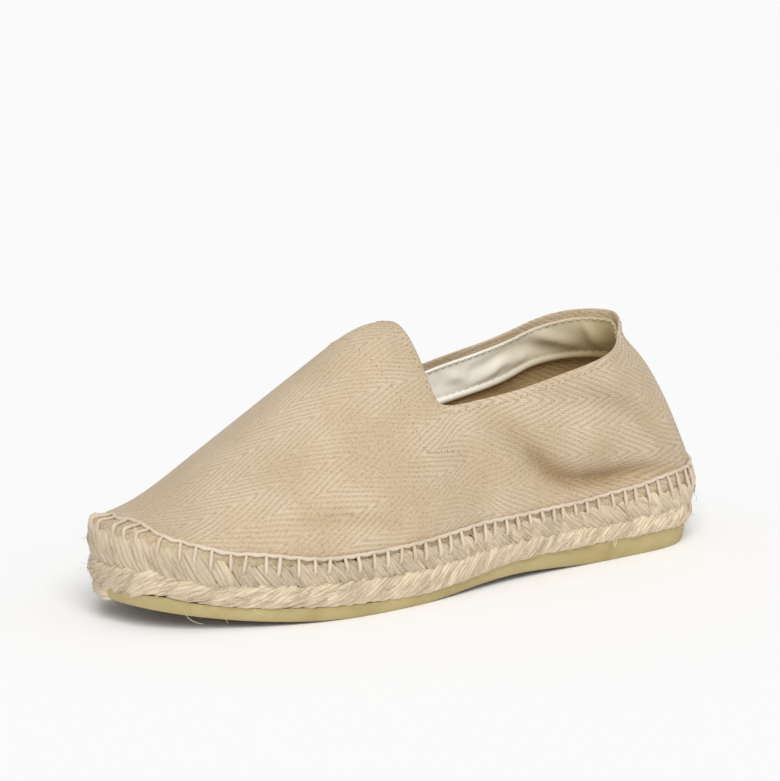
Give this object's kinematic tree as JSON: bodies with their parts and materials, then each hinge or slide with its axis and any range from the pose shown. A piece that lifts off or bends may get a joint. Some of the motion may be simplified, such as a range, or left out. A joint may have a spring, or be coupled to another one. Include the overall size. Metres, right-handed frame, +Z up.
{
  "type": "espadrille",
  "caption": "Flat slip-on canvas espadrille with a straight throat, low collar, braided jute sole and thin rubber outsole.",
  "frame": {"origin": "on the floor, under the middle of the shoe's length and width", "axes": "+X towards the heel, -X towards the toe, -Y the side seen in the picture, +Z up"},
  "size_m": [0.288, 0.1054, 0.1047],
  "materials": {
    "rubber": "matte",
    "jute": "rough braided fibre",
    "insole_cloth": "matte woven",
    "canvas": "matte herringbone weave"
  },
  "bodies": {
    "root": {"outsole": "rubber", "jute_sole": "jute", "insole": "insole_cloth", "upper": "canvas"}
  },
  "joints": []
}
